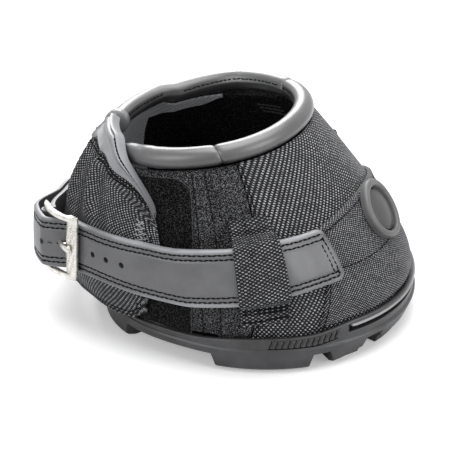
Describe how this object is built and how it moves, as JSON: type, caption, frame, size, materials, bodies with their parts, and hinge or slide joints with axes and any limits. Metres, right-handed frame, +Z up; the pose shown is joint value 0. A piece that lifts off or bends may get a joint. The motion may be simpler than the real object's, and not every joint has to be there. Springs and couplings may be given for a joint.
{
  "type": "horse hoof boot",
  "caption": "Rear-opening horse hoof boot: lugged rubber sole, woven upper, padded collar, wrap-round heel flap and buckled belt.",
  "frame": {"origin": "on the flat centre tread pad, on the ground under the hoof", "axes": "+X towards the toe, +Z up, -Y the near side with the hook-and-loop closure"},
  "size_m": [0.1913, 0.1649, 0.108],
  "materials": {
    "outsole": "satin moulded rubber",
    "toe_trim": "smooth light grey rubber",
    "insole": "dark felted foam",
    "vamp_weave": "coarse ballistic weave",
    "side_fabric": "soft brushed nylon",
    "fine_weave": "fine woven nylon",
    "badge_ring": "matt light grey rubber",
    "badge_centre": "matt dark grey rubber",
    "collar_leather": "smooth semi-gloss leather",
    "closure_pile": "black hook and loop pile",
    "lining": "grey woven lining",
    "flap_nylon": "fine black nylon",
    "binding_leather": "smooth stitched leather",
    "strap_leather": "smooth belt leather, double stitched",
    "webbing": "coarse black webbing",
    "buckle_metal": "cast nickel, satin bright"
  },
  "bodies": {
    "root": {"outsole": "outsole", "toe_strip": "toe_trim", "insole_pad": "insole", "vamp": "vamp_weave", "side_near": "side_fabric", "side_far": "side_fabric", "toe_band": "fine_weave", "toe_cap": "fine_weave", "badge_rim": "badge_ring", "badge_disc": "badge_centre", "collar_front": "collar_leather", "collar_near": "collar_leather", "collar_far": "collar_leather", "loop_strip": "closure_pile", "pile_panel": "closure_pile", "lining_front": "lining", "strap_end_near": "strap_leather", "strap_end_far": "strap_leather", "strap_far_side": "strap_leather", "keeper_near": "webbing", "keeper_far": "webbing"},
    "near_strap": {"strap_side": "strap_leather", "strap_tip": "strap_leather"},
    "flap": {"rear_flap": "flap_nylon", "flap_lining": "lining", "flap_collar": "collar_leather", "flap_binding": "binding_leather", "hook_patch": "closure_pile", "buckle_strap": "strap_leather"},
    "buckle": {"buckle_frame": "buckle_metal"},
    "prong": {"prong": "buckle_metal"}
  },
  "joints": [
    {"name": "strap_swing", "type": "hinge", "parent": "root", "child": "near_strap", "pos_m": [0.02144, -0.0757, 0.05232], "axis": [-0.3983, 0.193, 0.8967], "range_deg": [0, 130], "deforming": ["strap_tip"]},
    {"name": "flap_hinge", "type": "hinge", "parent": "root", "child": "flap", "pos_m": [-0.07931, 0.05673, 0.04366], "axis": [-0.0436, -0.2183, 0.9749], "range_deg": [-91, 0]},
    {"name": "buckle_pivot", "type": "hinge", "parent": "flap", "child": "buckle", "pos_m": [-0.08827, -0.05425, 0.04128], "axis": [-0.051, 0.1907, 0.9803], "range_deg": [-40, 0]},
    {"name": "prong_pivot", "type": "hinge", "parent": "buckle", "child": "prong", "pos_m": [-0.08827, -0.05425, 0.04128], "axis": [-0.051, 0.1907, 0.9803], "range_deg": [-70, 0]}
  ],
  "couplings": [
    {"joint": "flap_hinge", "follows": "strap_swing", "ratio": -0.7}
  ]
}
